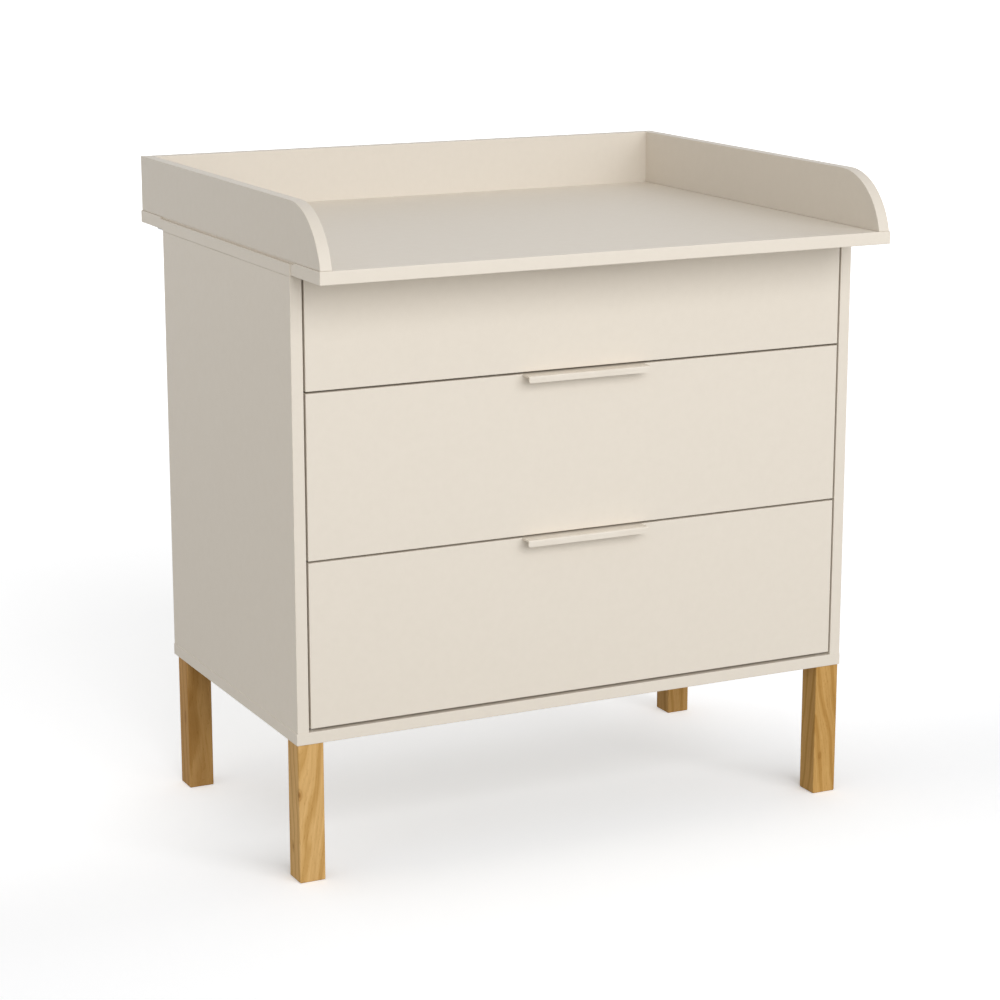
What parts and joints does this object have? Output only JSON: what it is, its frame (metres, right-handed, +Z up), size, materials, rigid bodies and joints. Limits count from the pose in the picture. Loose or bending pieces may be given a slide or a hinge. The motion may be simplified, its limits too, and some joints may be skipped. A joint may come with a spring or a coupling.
{
  "type": "changing dresser",
  "caption": "Board dresser on square oak legs with inset drawers on roller runners and a railed changing tray hooked over its top.",
  "frame": {"origin": "on the floor, under the middle of the changing tray's outline", "axes": "+X to the right seen from the front, +Y from the front to the back, +Z up"},
  "size_m": [0.922, 0.729, 0.994],
  "materials": {
    "lacquered_board": "satin cream lacquer on board",
    "box_board": "matt pale laminate on thin board",
    "oak": "oiled solid oak",
    "beech": "raw fluted beech",
    "handle_lacquer": "satin cream powder coat on bent steel",
    "coated_steel": "white epoxy coat on rolled steel",
    "zinc_steel": "zinc-plated steel",
    "nylon": "natural nylon"
  },
  "bodies": {
    "cabinet": {"back_panel": "box_board", "base_panel": "lacquered_board", "bracket_screws": "zinc_steel", "cabinet_roller_pins": "zinc_steel", "carcass_cam_locks": "zinc_steel", "carcass_dowels": "beech", "deck_sheet": "lacquered_board", "front_overhang": "lacquered_board", "leg_bolts": "zinc_steel", "leg_dowels": "beech", "leg_front_left": "oak", "leg_front_right": "oak", "leg_inserts": "zinc_steel", "leg_rear_left": "oak", "leg_rear_right": "oak", "lower_cabinet_runners": "coated_steel", "middle_cabinet_runners": "coated_steel", "rail_back": "lacquered_board", "rail_left": "lacquered_board", "rail_right": "lacquered_board", "rear_overhang": "lacquered_board", "runner_screws": "zinc_steel", "side_panel_left": "lacquered_board", "side_panel_right": "lacquered_board", "top_panel": "lacquered_board", "tray_brackets": "coated_steel", "tray_dowels": "beech", "tray_screws": "zinc_steel", "upper_cabinet_runners": "coated_steel"},
    "lower_drawer": {"lower_drawer_back": "box_board", "lower_drawer_bottom": "box_board", "lower_drawer_fixings": "zinc_steel", "lower_drawer_front": "lacquered_board", "lower_drawer_runners": "coated_steel", "lower_drawer_side_left": "box_board", "lower_drawer_side_right": "box_board", "lower_handle": "handle_lacquer"},
    "lower_front_wheels": {"lower_front_rollers": "nylon"},
    "lower_rear_wheels": {"lower_rear_rollers": "nylon"},
    "middle_drawer": {"middle_drawer_back": "box_board", "middle_drawer_bottom": "box_board", "middle_drawer_fixings": "zinc_steel", "middle_drawer_front": "lacquered_board", "middle_drawer_runners": "coated_steel", "middle_drawer_side_left": "box_board", "middle_drawer_side_right": "box_board", "middle_handle": "handle_lacquer"},
    "middle_front_wheels": {"middle_front_rollers": "nylon"},
    "middle_rear_wheels": {"middle_rear_rollers": "nylon"},
    "upper_drawer": {"upper_drawer_back": "box_board", "upper_drawer_bottom": "box_board", "upper_drawer_fixings": "zinc_steel", "upper_drawer_front": "lacquered_board", "upper_drawer_runners": "coated_steel", "upper_drawer_side_left": "box_board", "upper_drawer_side_right": "box_board", "upper_handle": "handle_lacquer"},
    "upper_front_wheels": {"upper_front_rollers": "nylon"},
    "upper_rear_wheels": {"upper_rear_rollers": "nylon"}
  },
  "joints": [
    {"name": "lower_drawer_slide", "type": "slide", "parent": "cabinet", "child": "lower_drawer", "axis": [0, -1, 0], "range_m": [0, 0.34]},
    {"name": "lower_front_wheels_turn", "type": "hinge", "parent": "cabinet", "child": "lower_front_wheels", "pos_m": [0, -0.2255, 0.265], "axis": [1, 0, 0], "range_deg": [0, 1949.1]},
    {"name": "lower_rear_wheels_turn", "type": "hinge", "parent": "lower_drawer", "child": "lower_rear_wheels", "pos_m": [0, 0.1945, 0.2635], "axis": [1, 0, 0], "range_deg": [0, 1949.1]},
    {"name": "middle_drawer_slide", "type": "slide", "parent": "cabinet", "child": "middle_drawer", "axis": [0, -1, 0], "range_m": [0, 0.34]},
    {"name": "middle_front_wheels_turn", "type": "hinge", "parent": "cabinet", "child": "middle_front_wheels", "pos_m": [0, -0.2255, 0.513], "axis": [1, 0, 0], "range_deg": [0, 1949.1]},
    {"name": "middle_rear_wheels_turn", "type": "hinge", "parent": "middle_drawer", "child": "middle_rear_wheels", "pos_m": [0, 0.1945, 0.5115], "axis": [1, 0, 0], "range_deg": [0, 1949.1]},
    {"name": "upper_drawer_slide", "type": "slide", "parent": "cabinet", "child": "upper_drawer", "axis": [0, -1, 0], "range_m": [0, 0.34]},
    {"name": "upper_front_wheels_turn", "type": "hinge", "parent": "cabinet", "child": "upper_front_wheels", "pos_m": [0, -0.2255, 0.757], "axis": [1, 0, 0], "range_deg": [0, 1949.1]},
    {"name": "upper_rear_wheels_turn", "type": "hinge", "parent": "upper_drawer", "child": "upper_rear_wheels", "pos_m": [0, 0.1945, 0.7555], "axis": [1, 0, 0], "range_deg": [0, 1949.1]}
  ],
  "couplings": [
    {"joint": "lower_front_wheels_turn", "follows": "lower_drawer_slide", "rad_per_m": 100},
    {"joint": "lower_rear_wheels_turn", "follows": "lower_drawer_slide", "rad_per_m": 100},
    {"joint": "middle_front_wheels_turn", "follows": "middle_drawer_slide", "rad_per_m": 100},
    {"joint": "middle_rear_wheels_turn", "follows": "middle_drawer_slide", "rad_per_m": 100},
    {"joint": "upper_front_wheels_turn", "follows": "upper_drawer_slide", "rad_per_m": 100},
    {"joint": "upper_rear_wheels_turn", "follows": "upper_drawer_slide", "rad_per_m": 100}
  ]
}
